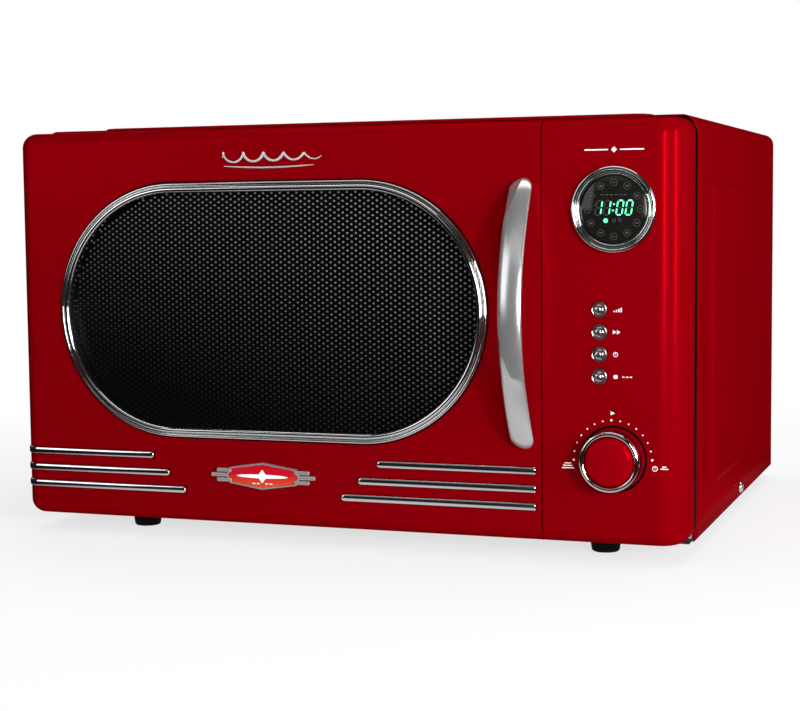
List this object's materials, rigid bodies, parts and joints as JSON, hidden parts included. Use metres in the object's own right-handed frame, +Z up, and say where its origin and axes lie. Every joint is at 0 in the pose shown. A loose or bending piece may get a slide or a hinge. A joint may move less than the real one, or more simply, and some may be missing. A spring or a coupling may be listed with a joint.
{
  "type": "microwave oven",
  "caption": "Retro countertop microwave oven: side-hung door with a racetrack window and bowed handle, round display, push buttons, rotary dial, turntable and its inner works.",
  "frame": {"origin": "middle of the whole box, on the surface the feet stand on", "axes": "+X to the right of someone facing the door, +Y from the door into the depth, +Z up"},
  "size_m": [0.4422, 0.408, 0.2653],
  "materials": {
    "red_plastic": "glossy red moulded plastic",
    "red_cap": "glossy red moulded plastic",
    "red_paint": "glossy red enamel on steel",
    "chrome": "bright plated",
    "screw_steel": "plated steel",
    "satin_chrome": "satin plated",
    "galvanised": "galvanised sheet",
    "transformer_steel": "varnished laminations and windings",
    "cavity_paint": "pale grey enamel",
    "black_plastic": "matt black",
    "black_glass": "black glass",
    "dark_screen": "black perforated sheet",
    "tray_glass": "clear tempered glass",
    "rubber": "black rubber",
    "white_plastic": "white plastic",
    "board": "circuit board",
    "mica": "mica sheet",
    "badge_enamel": "orange enamel in a chrome border"
  },
  "bodies": {
    "casing": {"base_plate": "galvanised", "cavity_lamp": "white_plastic", "cavity_liner": "cavity_paint", "control_board": "board", "control_panel": "red_plastic", "display_bezel": "chrome", "display_lens": "black_glass", "display_module": "black_plastic", "fan_motor": "galvanised", "fan_shroud": "black_plastic", "foot_front_left": "rubber", "foot_front_right": "rubber", "foot_rear_left": "rubber", "foot_rear_right": "rubber", "front_frame": "galvanised", "hinge_bracket_lower": "galvanised", "hinge_bracket_upper": "galvanised", "hv_capacitor": "galvanised", "hv_transformer": "transformer_steel", "interlock_bracket": "white_plastic", "magnetron": "galvanised", "mains_gland": "black_plastic", "outer_cabinet": "red_paint", "rear_panel": "galvanised", "rear_screw_left": "screw_steel", "rear_screw_right": "screw_steel", "rotary_encoder": "galvanised", "side_screw_left": "screw_steel", "side_screw_right": "screw_steel", "turntable_motor": "galvanised", "waveguide": "galvanised", "waveguide_cover": "mica"},
    "door": {"door_shell": "red_plastic", "window_trim_ring": "chrome", "window_glass": "black_glass", "window_screen": "dark_screen", "door_inner_panel": "cavity_paint", "door_handle": "satin_chrome", "door_badge": "badge_enamel", "top_ornament": "chrome", "trim_bar_left_1": "chrome", "trim_bar_left_2": "chrome", "trim_bar_left_3": "chrome", "trim_bar_right_1": "chrome", "trim_bar_right_2": "chrome", "trim_bar_right_3": "chrome"},
    "latch": {"door_latch": "white_plastic"},
    "knob": {"knob_ring": "chrome", "knob_cap": "red_cap"},
    "turntable": {"glass_tray": "tray_glass", "drive_coupler": "white_plastic"},
    "roller_ring": {"roller_ring": "white_plastic"},
    "fan": {"fan_blade": "black_plastic"},
    "button_1": {"button_1": "chrome"},
    "button_2": {"button_2": "chrome"},
    "button_3": {"button_3": "chrome"},
    "button_4": {"button_4": "chrome"},
    "roller_wheel_1": {"roller_wheel_1": "white_plastic"},
    "roller_wheel_2": {"roller_wheel_2": "white_plastic"},
    "roller_wheel_3": {"roller_wheel_3": "white_plastic"}
  },
  "joints": [
    {"name": "door_hinge", "type": "hinge", "parent": "casing", "child": "door", "pos_m": [-0.21, -0.1436, 0.136], "axis": [0, 0, -1], "range_deg": [0, 90]},
    {"name": "latch_slide", "type": "slide", "parent": "door", "child": "latch", "axis": [0, 0, 1], "range_m": [0, 0.003], "stiffness_N_per_m": 200, "springref_m": -0.002},
    {"name": "knob_turn", "type": "hinge", "parent": "casing", "child": "knob", "pos_m": [0.177, -0.1686, 0.0615], "axis": [0, -1, 0], "continuous": true},
    {"name": "turntable_spin", "type": "hinge", "parent": "casing", "child": "turntable", "pos_m": [-0.041, 0.0154, 0.0413], "axis": [0, 0, 1], "continuous": true},
    {"name": "roller_ring_spin", "type": "hinge", "parent": "casing", "child": "roller_ring", "pos_m": [-0.041, 0.0154, 0.0413], "axis": [0, 0, 1], "continuous": true},
    {"name": "fan_spin", "type": "hinge", "parent": "casing", "child": "fan", "pos_m": [0.165, 0.1684, 0.187], "axis": [0, 1, 0], "continuous": true},
    {"name": "button_1_press", "type": "slide", "parent": "casing", "child": "button_1", "axis": [0, 1, 0], "range_m": [0, 0.0015], "stiffness_N_per_m": 400},
    {"name": "button_2_press", "type": "slide", "parent": "casing", "child": "button_2", "axis": [0, 1, 0], "range_m": [0, 0.0015], "stiffness_N_per_m": 400},
    {"name": "button_3_press", "type": "slide", "parent": "casing", "child": "button_3", "axis": [0, 1, 0], "range_m": [0, 0.0015], "stiffness_N_per_m": 400},
    {"name": "button_4_press", "type": "slide", "parent": "casing", "child": "button_4", "axis": [0, 1, 0], "range_m": [0, 0.0015], "stiffness_N_per_m": 400},
    {"name": "roller_wheel_1_spin", "type": "hinge", "parent": "roller_ring", "child": "roller_wheel_1", "pos_m": [0.049, 0.0154, 0.0413], "axis": [1, 0, 0], "continuous": true},
    {"name": "roller_wheel_2_spin", "type": "hinge", "parent": "roller_ring", "child": "roller_wheel_2", "pos_m": [-0.086, 0.09334, 0.0413], "axis": [-0.5, 0.866, 0], "continuous": true},
    {"name": "roller_wheel_3_spin", "type": "hinge", "parent": "roller_ring", "child": "roller_wheel_3", "pos_m": [-0.086, -0.06254, 0.0413], "axis": [-0.5, -0.866, 0], "continuous": true}
  ],
  "couplings": [
    {"joint": "roller_ring_spin", "follows": "turntable_spin", "ratio": 0.5},
    {"joint": "roller_wheel_1_spin", "follows": "turntable_spin", "ratio": -6.4286},
    {"joint": "roller_wheel_2_spin", "follows": "turntable_spin", "ratio": -6.4286},
    {"joint": "roller_wheel_3_spin", "follows": "turntable_spin", "ratio": -6.4286}
  ]
}
